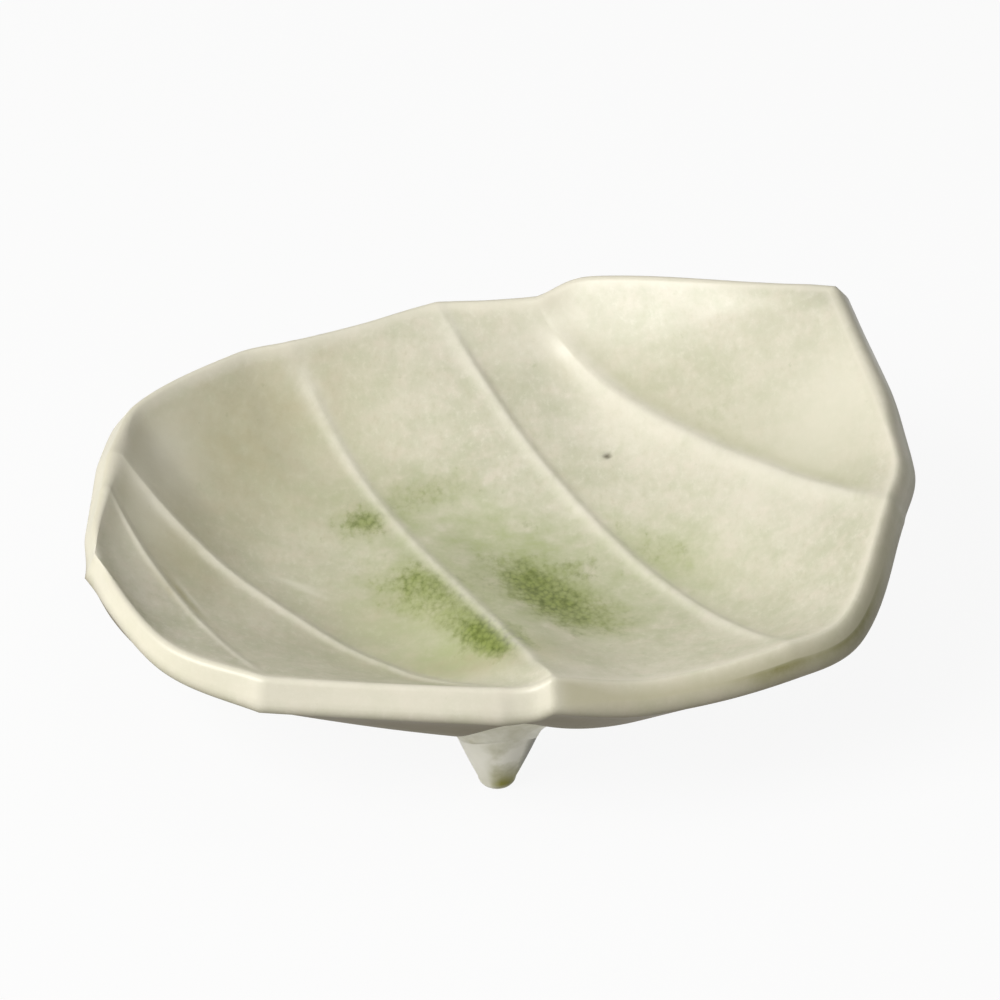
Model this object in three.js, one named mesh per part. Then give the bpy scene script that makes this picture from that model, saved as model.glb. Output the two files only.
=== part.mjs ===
import * as THREE from 'three';

// A folded stoneware dish on three cone feet. Millimetres, +Z up, standing on z = 0.
// +X runs along the dish to its high tip, -Y is the low front rim.

// Driving dimensions of the slab. Its length and depth are taken along the inside of the rim, and tipRise
// is the height of the high tip above the inside floor. The thickness is laid off square to the slab, whose
// slant is read over slantReach to either side.
const slabLength = 146.1;
const slabDepth = 120.5;
const tipRise = 32;
const rimThickness = 6.8;
const bellyThickness = 8.8;
const rimTaper = 12;
const edgeBulge = 1.7;
const edgeRounding = 1.2;
const slantReach = 8;
const foldHalfWidth = 1.7;
const panelHollow = 0.6;

// A fold sinks into the rim at both ends: the share of it that is left there, and how far along it sinks
const rimFoldShare = 0.2;
const rimFoldFade = 0.13;

// Driving dimensions of the feet and of the clay coils that lute them to the slab
const bellyClearance = 10.2;
const footPadRadius = 2.1;
const footTipRadius = 3.2;
const footTipRounding = 1.1;
const footWaistRadius = 6.4;
const footTopRadius = 8.4;
const coilWidth = 2.4;
const coilDrop = 3.4;
const coilLip = 0.5;
const jointGap = 0.3;

// The front foot is set in from the front rim, and the two back feet stand apart behind it
const frontFootInset = 13;
const backFootSetback = 66.2;
const backFootSpread = 70;

// How finely the curved faces are divided. The columns beside a fold reach as far as flankReach times the
// half width of the fold, and no further than flankLimit of the panel.
const stepsAcross = 26;
const columnSpacing = 5;
const foldColumns = 2;
const flankReach = 1.3;
const flankLimit = 0.25;
const edgeSteps = 2;
const footSides = 24;
const footSteps = 7;
const footCapRings = 2;
const coilSteps = 3;

// Lines across the dish, from the low left tip to the high right tip, drawn in plan with heights from the
// inside floor. The drawing is stretched to the length, depth and tip rise above. Each line runs from a
// point on the back rim to one on the front rim. sag is how far it hangs below its chord, lean below 1
// moves its lowest point towards the back, fullness above 2 flattens its bottom and bow bends it sideways
// in plan. underLean is the lean of the underside where the slab is thicker.
// A line with a rise is a fold that stands proud of the panels, with a drop on its right-hand side. The
// others only guide the rim. The slab bends smoothly across a line unless it is creased. A tip is a line of
// no length that ends the outermost panel. Within its reach the cut edge turns over to one slant, which
// upright moves towards the vertical.
const crossLine = (shape) => ({ lean: 1, fullness: 2, bow: 0, ...shape });
const tip = (point, turn) => crossLine({ back: point, front: point, sag: 0, rise: 0, drop: 0, ...turn });
const lines = [
  tip([-72.9, -21.5, 15.2], { upright: 0.3, reach: 44 }),
  crossLine({ back: [-72.8, -10.8, 15.7], front: [-58.2, -45.6, 13], sag: 2.6, lean: 0.65 }),
  crossLine({
    back: [-71.9, -0.3, 16.2], front: [-40.5, -55.8, 12], sag: 6.2, lean: 0.72, fullness: 2.2,
    rise: 0.5, drop: 0.3, creased: true,
  }),
  crossLine({
    back: [-70.5, 10.8, 16.7], front: [0.5, -57.2, 10.5], sag: 12.6, lean: 1, fullness: 2.5, bow: -0.4,
    rise: 0.7, drop: 0.4, creased: true,
  }),
  crossLine({ back: [-69.5, 29, 17], front: [3.5, -57.3, 10.9], sag: 14, lean: 0.9, fullness: 2.4 }),
  crossLine({
    back: [-51, 48, 17.2], front: [6.5, -57.4, 11.7], sag: 14.8, lean: 0.68, underLean: 1, fullness: 2.3,
    bow: 1.2,
  }),
  crossLine({
    back: [-40.5, 52.3, 17.5], front: [9, -57.5, 13.1], sag: 15.1, lean: 0.47, underLean: 1.5, bow: 2.5,
    rise: 0.75, drop: 0.25, creased: true,
  }),
  crossLine({
    back: [-27.5, 57.5, 18.6], front: [27, -54, 10.5], sag: 15, lean: 0.78, underLean: 1.7, bow: 1,
  }),
  crossLine({
    back: [-12, 63, 20.2], front: [51.2, -48, 13.5], sag: 16.2, lean: 1.16, bow: -0.3,
    rise: 0.85, drop: 1,
  }),
  crossLine({ back: [-2, 62.5, 21], front: [60.5, -39.6, 15], sag: 14.3, lean: 0.85, fullness: 2.5 }),
  crossLine({
    back: [8, 62, 21.6], front: [70, -14, 22], sag: 11.3, lean: 0.5, fullness: 3.2,
    rise: 0.8, drop: 1.7,
  }),
  crossLine({ back: [19, 63, 26], front: [73.2, 0, 24.2], sag: 9, lean: 0.8, fullness: 2.5 }),
  tip([64.5, 48.5, 32], { upright: -0.3, reach: 40 }),
];

const floorHeight = bellyClearance + bellyThickness;
const up = new THREE.Vector3(0, 0, 1);

const drawn = new THREE.Box3();
for (const line of lines) {
  drawn.expandByPoint(new THREE.Vector3(...line.back));
  drawn.expandByPoint(new THREE.Vector3(...line.front));
}
const stretch = new THREE.Vector3(slabLength, slabDepth, tipRise);
stretch.divide(drawn.getSize(new THREE.Vector3()).setZ(drawn.max.z));
const frontRim = drawn.min.y * stretch.y;

// A point of a line's chord, v = 0 on the back rim and 1 on the front rim
function chordPoint(line, v) {
  const back = new THREE.Vector3(...line.back).multiply(stretch);
  const front = new THREE.Vector3(...line.front).multiply(stretch);
  const sideways = front.clone().sub(back).setZ(0).cross(up).negate().normalize();
  return back.lerp(front, v).addScaledVector(sideways, stretch.x * line.bow * 4 * v * (1 - v));
}

// How far a line hangs below its chord
function lineDepth(line, v, lean) {
  const leaned = v / (v + lean * (1 - v));
  return stretch.z * line.sag * (1 - Math.abs(2 * leaned - 1) ** line.fullness);
}

const insideDepth = (line, v) => lineDepth(line, v, line.lean);
const undersideDepth = (line, v) => lineDepth(line, v, line.underLean ?? line.lean);

function planDistance(a, b) {
  return Math.hypot(a.x - b.x, a.y - b.y);
}

// Distance of each line from the left tip, measured across the middle of the dish
const stations = lines.map((line, index) => {
  const middles = lines.slice(0, index + 1).map((each) => chordPoint(each, 0.5));
  return middles.reduce((sum, point, k) => sum + (k > 0 ? planDistance(point, middles[k - 1]) : 0), 0);
});

// Slope of a run of values at a line. At a crease it follows one side only, and a tip may have a set slope.
function runSlope(values, k, side, tipSlope) {
  const isTip = k === 0 || k === lines.length - 1;
  if (isTip && tipSlope !== undefined) {
    return tipSlope;
  }
  const before = k === 0 || (lines[k].creased && side > 0) ? k : k - 1;
  const after = k === lines.length - 1 || (lines[k].creased && side < 0) ? k : k + 1;
  return (values[after] - values[before]) / (stations[after] - stations[before]);
}

// A smooth cubic run of values across all the lines, read at a share of the gap between two of them
function runAt(values, gap, share, tipSlope) {
  const width = stations[gap + 1] - stations[gap];
  const leaving = runSlope(values, gap, 1, tipSlope) * width;
  const arriving = runSlope(values, gap + 1, -1, tipSlope) * width;
  const rest = 1 - share;
  return values[gap] * rest * rest * (1 + 2 * share) + values[gap + 1] * share * share * (1 + 2 * rest)
    + leaving * share * rest * rest - arriving * share * share * rest;
}

// Columns of the grid. Beside a fold they keep a set distance from it, and between they share the width.
function makeColumns() {
  const columns = [{ gap: 0, share: 0 }];
  for (let gap = 0; gap < lines.length - 1; gap += 1) {
    const leftFold = lines[gap].rise > 0;
    const rightFold = lines[gap + 1].rise > 0;
    const count = Math.max(1, Math.round((stations[gap + 1] - stations[gap]) / columnSpacing));
    for (let side = 1; leftFold && side <= foldColumns; side += 1) {
      columns.push({ gap, flank: 'left', reach: side / foldColumns });
    }
    for (let step = 1; step < count; step += 1) {
      columns.push({ gap, share: step / count, leftFold, rightFold });
    }
    for (let side = foldColumns; rightFold && side >= 1; side -= 1) {
      columns.push({ gap, flank: 'right', reach: side / foldColumns });
    }
    columns.push({ gap, share: 1 });
  }
  return columns;
}

// Where a column lies between the two lines of its gap: 0 on the left one, 1 on the right one
function columnShare(column, width) {
  const flankShare = Math.min(flankLimit, (flankReach * foldHalfWidth) / Math.max(width, foldHalfWidth));
  if (column.flank === 'left') {
    return flankShare * column.reach;
  }
  if (column.flank === 'right') {
    return 1 - flankShare * column.reach;
  }
  const start = column.leftFold ? flankShare : 0;
  const end = column.rightFold ? 1 - flankShare : 1;
  return start + (end - start) * column.share;
}

// The slab is thinned towards its rim
function slabThickness(inset) {
  return THREE.MathUtils.lerp(rimThickness, bellyThickness, THREE.MathUtils.smoothstep(inset, 0, rimTaper));
}

// The smooth slab face at a column. The chords run smoothly into each other, and the depth is level at a
// tip.
function slabPoint(column, v, depthOf) {
  const chords = lines.map((line) => chordPoint(line, v));
  const depths = lines.map((line) => depthOf(line, v));
  const share = columnShare(column, planDistance(chords[column.gap], chords[column.gap + 1]));
  const chordRun = (axis) => runAt(chords.map((point) => point[axis]), column.gap, share);
  const height = floorHeight + chordRun('z') - runAt(depths, column.gap, share, 0);
  return new THREE.Vector3(chordRun('x'), chordRun('y'), height);
}

// How far the folded face stands above the smooth one, between the folds on either side of a point
function foldRelief(column, v, point) {
  const isFold = (line) => line.rise !== undefined;
  const left = lines.slice(0, column.gap + 1).findLast(isFold);
  const right = lines.slice(column.gap + 1).find(isFold);
  const fromLeft = planDistance(point, chordPoint(left, v));
  const fromRight = planDistance(point, chordPoint(right, v));
  const width = Math.max(fromLeft + fromRight, foldHalfWidth);
  const crest = (distance) => Math.exp(-((distance / foldHalfWidth) ** 2));
  const valley = left.drop * (1 - crest(fromLeft)) * (1 - fromLeft / width) ** 2;
  const hollow = panelHollow * 4 * (fromLeft / width) * (fromRight / width);
  const sunk = 1 - THREE.MathUtils.smoothstep(Math.min(v, 1 - v), 0, rimFoldFade);
  const fade = THREE.MathUtils.lerp(1, rimFoldShare, sunk);
  return fade * (left.rise * crest(fromLeft) + right.rise * crest(fromRight)) - fade * valley - hollow;
}

// Upper face, lower face and a rounded edge between them, as one closed surface
function makeDish() {
  const columns = makeColumns();
  const last = columns.length - 1;
  const steps = Array.from({ length: stepsAcross + 1 }, (_, row) => row / stepsAcross);
  const inside = columns.map((column) => steps.map((v) => slabPoint(column, v, insideDepth)));
  const outside = columns.map((column) => steps.map((v) => slabPoint(column, v, undersideDepth)));
  const isTip = (i) => i === 0 || i === last;

  // The first grid point in one direction that is far enough away, or the last one there
  function slantPoint(i, j, stepI, stepJ) {
    const start = outside[i][j];
    let point = start;
    let next = outside[i + stepI]?.[j + stepJ];
    for (let step = 2; next && planDistance(point, start) < slantReach; step += 1) {
      point = next;
      next = outside[i + stepI * step]?.[j + stepJ * step];
    }
    return point.clone();
  }

  function gridNormal(i, j) {
    const inner = THREE.MathUtils.clamp(i, 1, last - 1);
    const alongX = slantPoint(inner, j, 1, 0).sub(slantPoint(inner, j, -1, 0));
    const alongY = slantPoint(inner, j, 0, 1).sub(slantPoint(inner, j, 0, -1));
    return alongY.cross(alongX).normalize();
  }

  // The lines crowd together at a tip, so close to it the thickness is taken along one normal of the tip
  const middleRow = Math.round(stepsAcross / 2);
  function thicknessNormal(i, j) {
    const isLeft = i < last / 2;
    const { upright, reach } = lines.at(isLeft ? 0 : -1);
    const tipColumn = isLeft ? 0 : last;
    const away = planDistance(outside[i][j], outside[tipColumn][0]);
    const tipNormal = gridNormal(tipColumn, middleRow).lerp(up, upright);
    return tipNormal.lerp(gridNormal(i, j), THREE.MathUtils.smoothstep(away, 0, reach)).normalize();
  }

  const positions = [];
  const triangles = [];
  const addPoint = (point) => positions.push(point.x, point.y, point.z) / 3 - 1;
  const addTriangle = (a, b, c) => {
    if (a !== b && b !== c && c !== a) {
      triangles.push(a, b, c);
    }
  };

  const upper = [];
  const lower = [];
  for (let i = 0; i <= last; i += 1) {
    upper.push([]);
    lower.push([]);
    for (let j = 0; j <= stepsAcross; j += 1) {
      if (isTip(i) && j > 0) {
        upper[i].push(upper[i][0]);
        lower[i].push(lower[i][0]);
        continue;
      }
      const normal = thicknessNormal(i, j);
      const top = inside[i][j].clone();
      top.z += foldRelief(columns[i], j / stepsAcross, inside[i][j]);
      upper[i].push(addPoint(top));
      const rimPoints = [inside[i][0], inside[i][stepsAcross], inside[0][0], inside[last][0]];
      const inset = Math.min(...rimPoints.map((point) => planDistance(top, point)));
      lower[i].push(addPoint(outside[i][j].clone().addScaledVector(normal, -slabThickness(inset))));
    }
  }
  for (let i = 0; i < last; i += 1) {
    for (let j = 0; j < stepsAcross; j += 1) {
      addTriangle(upper[i][j], upper[i][j + 1], upper[i + 1][j]);
      addTriangle(upper[i + 1][j], upper[i][j + 1], upper[i + 1][j + 1]);
      addTriangle(lower[i][j], lower[i + 1][j], lower[i][j + 1]);
      addTriangle(lower[i + 1][j], lower[i + 1][j + 1], lower[i][j + 1]);
    }
  }

  // The rim, once round: along the back from the left tip to the right tip and home along the front
  const rim = [];
  for (let i = 0; i <= last; i += 1) {
    rim.push({ i, j: 0 });
  }
  for (let i = last - 1; i > 0; i -= 1) {
    rim.push({ i, j: stepsAcross });
  }
  const pointAt = (index) => new THREE.Vector3().fromArray(positions, index * 3);
  const rings = rim.map(({ i, j }, k) => {
    const next = rim[(k + 1) % rim.length];
    const previous = rim[(k + rim.length - 1) % rim.length];
    const top = pointAt(upper[i][j]);
    const bottom = pointAt(lower[i][j]);
    const along = pointAt(upper[next.i][next.j]).sub(pointAt(upper[previous.i][previous.j]));
    const inward = bottom.clone().sub(top).normalize();
    const outward = along.cross(inward).normalize();
    const ring = [upper[i][j]];
    for (const [corner, side] of [[top, 1], [bottom, -1]]) {
      const quarter = Math.PI / 2;
      const bends = Array.from({ length: edgeSteps }, (_, step) => (quarter * (step + 1)) / edgeSteps);
      for (const bend of side > 0 ? bends : bends.toReversed()) {
        const point = corner.clone().addScaledVector(outward, edgeBulge * Math.sin(bend));
        ring.push(addPoint(point.addScaledVector(inward, side * edgeRounding * (1 - Math.cos(bend)))));
      }
    }
    ring.push(lower[i][j]);
    return ring;
  });
  rings.forEach((ring, k) => {
    const next = rings[(k + 1) % rings.length];
    for (let step = 0; step < ring.length - 1; step += 1) {
      addTriangle(ring[step], next[step], ring[step + 1]);
      addTriangle(next[step], next[step + 1], ring[step + 1]);
    }
  });
  return solid(positions, triangles);
}

function solid(positions, triangles) {
  const geometry = new THREE.BufferGeometry();
  geometry.setAttribute('position', new THREE.Float32BufferAttribute(positions, 3));
  geometry.setIndex(triangles);
  geometry.computeVertexNormals();
  return geometry;
}

const glazedStoneware = { color: '#dcd8bd', roughness: 0.22, metalness: 0 };

function piece(name, geometry) {
  const mesh = new THREE.Mesh(geometry, new THREE.MeshStandardMaterial(glazedStoneware));
  mesh.name = name;
  return mesh;
}

const dish = piece('dish', makeDish());

// Height of the underside of the slab above a point on the table, less the joint
const upward = new THREE.Raycaster();
function seatHeight(x, y) {
  upward.set(new THREE.Vector3(x, y, 0), up);
  return upward.intersectObject(dish)[0].point.z - jointGap;
}

// Half outline of a foot: share is 0 on the table and 1 at the slab
const footFlank = new THREE.QuadraticBezierCurve(
  new THREE.Vector2(footTipRadius, 0),
  new THREE.Vector2(footWaistRadius, 0.5),
  new THREE.Vector2(footTopRadius, 1),
);

function footRadius(share) {
  return footFlank.getPoint(share).x;
}

function ringPoint(place, turn, radius, height) {
  return [place.x + radius * Math.cos(turn), place.y + radius * Math.sin(turn), height];
}

const turns = Array.from({ length: footSides }, (_, side) => (side / footSides) * 2 * Math.PI);

// Skins a stack of rings. A stack with a start and an end point is closed there, and one without joins its
// last ring to its first.
function skin(rings, start, end) {
  const sides = rings[0].length;
  const positions = rings.flat(2);
  const triangles = [];
  const closed = start === undefined;
  const pairs = closed ? rings.length : rings.length - 1;
  for (let row = 0; row < pairs; row += 1) {
    const here = row * sides;
    const there = ((row + 1) % rings.length) * sides;
    for (let side = 0; side < sides; side += 1) {
      const next = (side + 1) % sides;
      triangles.push(here + side, here + next, there + side);
      triangles.push(here + next, there + next, there + side);
    }
  }
  if (!closed) {
    const startIndex = positions.length / 3;
    const top = (rings.length - 1) * sides;
    positions.push(...start, ...end);
    for (let side = 0; side < sides; side += 1) {
      const next = (side + 1) % sides;
      triangles.push(startIndex, next, side);
      triangles.push(startIndex + 1, top + side, top + next);
    }
  }
  return solid(positions, triangles);
}

// Height of the foot's flank where it meets the slab, all round
function footTops(place) {
  return turns.map((turn) => {
    const [x, y] = ringPoint(place, turn, footTopRadius, 0);
    return seatHeight(x, y);
  });
}

// A cone rolled between the palms, with a worn tip and a flat pad, fitted to the underside of the slab
function makeFoot(place) {
  const tops = footTops(place);
  const rings = [turns.map((turn) => ringPoint(place, turn, footPadRadius, 0))];
  for (let step = 0; step <= footSteps; step += 1) {
    const share = step / footSteps;
    rings.push(turns.map((turn, side) => {
      const height = footTipRounding + (tops[side] - footTipRounding) * share;
      return ringPoint(place, turn, footRadius(share), height);
    }));
  }
  for (let ring = footCapRings; ring >= 1; ring -= 1) {
    rings.push(turns.map((turn) => {
      const [x, y] = ringPoint(place, turn, (footTopRadius * ring) / (footCapRings + 1), 0);
      return [x, y, seatHeight(x, y)];
    }));
  }
  return skin(rings, [place.x, place.y, 0], [place.x, place.y, seatHeight(place.x, place.y)]);
}

// A soft coil pressed into the corner between the foot and the slab
function makeCoil(place) {
  const tops = footTops(place);
  const meanTop = tops.reduce((sum, top) => sum + top, 0) / tops.length;
  const startShare = 1 - coilDrop / meanTop;
  const flank = [];
  for (let step = 0; step <= coilSteps; step += 1) {
    const share = startShare + (1 - startShare) * (step / coilSteps);
    flank.push(turns.map((turn, side) => {
      const height = footTipRounding + (tops[side] - footTipRounding) * share;
      return ringPoint(place, turn, footRadius(share) + jointGap, height);
    }));
  }
  const outer = [];
  const topReach = footTopRadius + jointGap + coilWidth;
  const lowReach = footRadius(startShare) + jointGap + coilLip;
  for (let step = 0; step <= coilSteps; step += 1) {
    const bend = ((step / coilSteps) * Math.PI) / 2;
    const reach = THREE.MathUtils.lerp(topReach, lowReach, Math.sin(bend));
    outer.push(turns.map((turn, side) => {
      const [x, y] = ringPoint(place, turn, reach, 0);
      const low = flank[0][side][2];
      return [x, y, THREE.MathUtils.lerp(seatHeight(x, y), low, 1 - Math.cos(bend))];
    }));
  }
  return skin([...flank, ...outer].reverse());
}

const frontFootY = frontRim + frontFootInset;
const footPlaces = {
  front: { x: 0, y: frontFootY },
  back_left: { x: -backFootSpread / 2, y: frontFootY + backFootSetback },
  back_right: { x: backFootSpread / 2, y: frontFootY + backFootSetback },
};

const plate = new THREE.Group();
plate.add(dish);
for (const [name, place] of Object.entries(footPlaces)) {
  plate.add(piece(`foot_${name}`, makeFoot(place)));
  plate.add(piece(`luting_coil_${name}`, makeCoil(place)));
}

// The origin is on the table, under the middle of the dish
const middle = new THREE.Box3().setFromObject(dish).getCenter(new THREE.Vector3());
plate.position.set(-middle.x, -middle.y, 0);

export default plate;
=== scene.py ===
# %% [markdown]
# # A folded celadon plate
# The plate is a slab of stoneware, pleated like a leaf and set on three cone feet. The solid model
# already fixes its sizes. This lesson dresses it: a finer skin for the slab, hand-rolled feet, and a
# glaze that is pale where it runs thin and green where it pools.

# %% Load the frame
import math

import bpy
import numpy as np
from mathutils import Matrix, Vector, noise
from mathutils.bvhtree import BVHTree


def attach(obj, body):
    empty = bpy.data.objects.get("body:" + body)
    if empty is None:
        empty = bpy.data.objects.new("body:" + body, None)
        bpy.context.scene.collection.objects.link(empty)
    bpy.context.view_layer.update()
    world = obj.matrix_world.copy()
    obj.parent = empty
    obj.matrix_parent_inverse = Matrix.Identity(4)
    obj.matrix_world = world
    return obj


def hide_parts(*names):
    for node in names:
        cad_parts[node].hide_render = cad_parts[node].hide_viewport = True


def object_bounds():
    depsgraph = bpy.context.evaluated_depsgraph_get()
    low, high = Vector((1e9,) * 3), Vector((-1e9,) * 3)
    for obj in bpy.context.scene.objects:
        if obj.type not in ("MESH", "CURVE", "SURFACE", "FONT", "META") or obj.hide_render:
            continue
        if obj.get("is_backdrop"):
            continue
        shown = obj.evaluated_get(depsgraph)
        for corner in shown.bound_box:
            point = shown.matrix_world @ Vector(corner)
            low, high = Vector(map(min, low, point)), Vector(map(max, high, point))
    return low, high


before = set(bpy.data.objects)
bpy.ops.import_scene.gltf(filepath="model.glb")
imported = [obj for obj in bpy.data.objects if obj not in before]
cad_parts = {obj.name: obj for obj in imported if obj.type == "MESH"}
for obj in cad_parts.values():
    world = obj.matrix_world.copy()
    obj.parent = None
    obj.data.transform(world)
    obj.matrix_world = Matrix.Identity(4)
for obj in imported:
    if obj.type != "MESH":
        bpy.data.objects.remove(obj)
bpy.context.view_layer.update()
MM = 0.001
print("nodes", sorted(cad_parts))

# %% [markdown]
# ## Camera
# The plate is seen from its low front rim, 32 degrees above the table, through a long lens. A long lens
# keeps the near and the far rim at almost the same scale, as a product picture does. The camera aims at a
# point inside the dish, and a small shift puts the plate where the picture has it.

# %% Camera
CAMERA_ELEVATION = math.radians(32)
CAMERA_DISTANCE = 700 * MM
AIM = Vector((-0.724, -3.427, 28)) * MM
FOCAL_SHARE = 3.745  # focal length over the width of the picture
SHIFT_X, SHIFT_Y = 0.003, 0.020  # where the plate sits in the picture, as shares of its width

camera_data = bpy.data.cameras.new("camera")
camera_data.sensor_width = 36
camera_data.lens = FOCAL_SHARE * camera_data.sensor_width
camera_data.shift_x = SHIFT_X
camera_data.shift_y = SHIFT_Y
camera_data.clip_start = 10 * MM
camera = bpy.data.objects.new("camera", camera_data)
bpy.context.scene.collection.objects.link(camera)
backward = Vector((0, -math.cos(CAMERA_ELEVATION), math.sin(CAMERA_ELEVATION)))
camera.location = AIM + backward * CAMERA_DISTANCE
camera.rotation_euler = backward.to_track_quat("Z", "Y").to_euler()
bpy.context.scene.camera = camera
print("lens", round(camera_data.lens, 1), "mm at", [round(c, 3) for c in camera.location])

# %% [markdown]
# ## Colours and nodes
# Colours are written as the sRGB hex values that a paint program shows, and Blender wants linear light,
# so one function converts them. A second function adds a shader node with its settings, its values and
# its links in one line, which keeps the materials readable.

# %% Colour and node helpers
def linear(hex_colour):
    """sRGB hex to the linear RGBA that Blender's sockets take."""
    channels = [int(hex_colour[k:k + 2], 16) / 255 for k in (1, 3, 5)]
    return [c / 12.92 if c <= 0.04045 else ((c + 0.055) / 1.055) ** 2.4 for c in channels] + [1.0]


def add_node(tree, kind, values=None, links=None, **settings):
    """Adds one node: settings are its own properties, values fill sockets and links join them."""
    made = tree.nodes.new(kind)
    for name, value in settings.items():
        setattr(made, name, value)
    for socket, value in (values or {}).items():
        made.inputs[socket].default_value = value
    for socket, source in (links or {}).items():
        tree.links.new(source, made.inputs[socket])
    return made


def new_material(name):
    """An empty node material and its tree."""
    material = bpy.data.materials.new(name)
    material.use_nodes = True
    material.node_tree.nodes.clear()
    return material, material.node_tree


print("cream glaze in linear light", [round(c, 3) for c in linear("#ded9c0")])

# %% [markdown]
# ## Table
# The plate stands on white paper. Plain diffuse paper would turn grey away from the lamps. So the table
# looks white to the camera, but part of its own shading is kept for the soft shadow.

# %% Table
TABLE_SIZE = 30.0  # metres, so that its edge is out of sight
TABLE_WHITE = 0.92  # how much of the table's look is plain white

table_mesh = bpy.data.meshes.new("table")
half = TABLE_SIZE / 2
corners = [(-half, -half, 0), (half, -half, 0), (half, half, 0), (-half, half, 0)]
table_mesh.from_pydata(corners, [], [(0, 1, 2, 3)])
table = bpy.data.objects.new("table", table_mesh)
bpy.context.scene.collection.objects.link(table)
table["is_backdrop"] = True

# Matt paper scatters light evenly: the eye sees a soft shadow and no reflection.
table_finish, tree = new_material("matt_white_paper_table")
paper = add_node(tree, "ShaderNodeBsdfDiffuse", {"Color": linear("#d2d2cf")})
glow = add_node(tree, "ShaderNodeEmission", {"Color": (1, 1, 1, 1), "Strength": 1.0})
path = add_node(tree, "ShaderNodeLightPath")
seen = path.outputs["Is Camera Ray"]
for ray in ("Is Glossy Ray", "Is Transmission Ray"):
    either = add_node(tree, "ShaderNodeMath", links={0: seen, 1: path.outputs[ray]}, operation="MAXIMUM")
    seen = either.outputs[0]
share = add_node(tree, "ShaderNodeMath", {1: TABLE_WHITE}, {0: seen}, operation="MULTIPLY")
blend = add_node(tree, "ShaderNodeMixShader",
                 links={0: share.outputs[0], 1: paper.outputs[0], 2: glow.outputs[0]})
add_node(tree, "ShaderNodeOutputMaterial", links={"Surface": blend.outputs[0]})
table_mesh.materials.append(table_finish)
print("table", TABLE_SIZE, "m wide")

# %% [markdown]
# ## Lamps
# One large soft lamp stands in front on the left, about as high as it is far away. It leaves the left
# half of the inside in soft shade and lights the raised end. A weak soft box overhead and a weak even
# world keep the shade open. An image of a room could light the plate too, but lamps can be moved one at a
# time.

# %% Lamps and world
LAMP_AIM = Vector((0, 0, 0.03))  # the lamps look at the middle of the dish; places and sizes in metres
LAMPS = {
    "key_front_left": {"at": (-0.68, -0.46, 0.72), "size": 0.7, "watts": 13.0},
    "soft_overhead": {"at": (0.15, 0.25, 0.95), "size": 0.8, "watts": 1.6},
}
for name, lamp in LAMPS.items():
    light = bpy.data.lights.new(name, "AREA")
    light.shape = "SQUARE"
    light.size = lamp["size"]
    light.energy = lamp["watts"]
    light_object = bpy.data.objects.new(name, light)
    light_object.location = lamp["at"]
    aim = Vector(lamp["at"]) - LAMP_AIM
    light_object.rotation_euler = aim.to_track_quat("Z", "Y").to_euler()
    bpy.context.scene.collection.objects.link(light_object)

WORLD_FILL = 0.16

world = bpy.data.worlds.new("studio_fill")
world.use_nodes = True
world.node_tree.nodes["Background"].inputs["Color"].default_value = (1, 1, 1, 1)
world.node_tree.nodes["Background"].inputs["Strength"].default_value = WORLD_FILL
bpy.context.scene.world = world
bpy.context.scene.view_settings.view_transform = "Standard"
print("lamps", list(LAMPS), "world fill", WORLD_FILL)

# %% [markdown]
# ## The lines of the slab
# The slab is drawn with a few lines that run from the back rim to the front rim. Some are pinched-up
# folds and some are only corners of the cut rim. The solid model uses the same lines, so the skin made
# here lies where the solid is, though three folds and two corners are drawn a millimetre or two truer
# here. Each line has a chord between two rim points, which may bow or sway to one side, a sag below the
# chord, and a lean that moves its lowest point.

# %% Lines of the slab
FLOOR_HEIGHT = 19.0  # the inside floor above the table, mm
PLAN_SHIFT = np.array([-0.724, -3.427, 0.0])  # from the drawing to the middle of the outline, mm


def cross_line(back, front, sag=0.0, lean=1.0, under_lean=None, fullness=2.0, bow=0.0, sway=0.0, rise=None,
               drop=0.0, width=1.7, back_fade=0.13, creased=False):
    """One line across the slab, in mm, with heights from the inside floor."""
    return {"back": np.array(back, float), "front": np.array(front, float), "sag": sag, "lean": lean,
            "under_lean": under_lean or lean, "fullness": fullness, "bow": bow, "sway": sway, "rise": rise,
            "drop": drop, "width": width, "back_fade": back_fade, "creased": creased}


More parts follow.
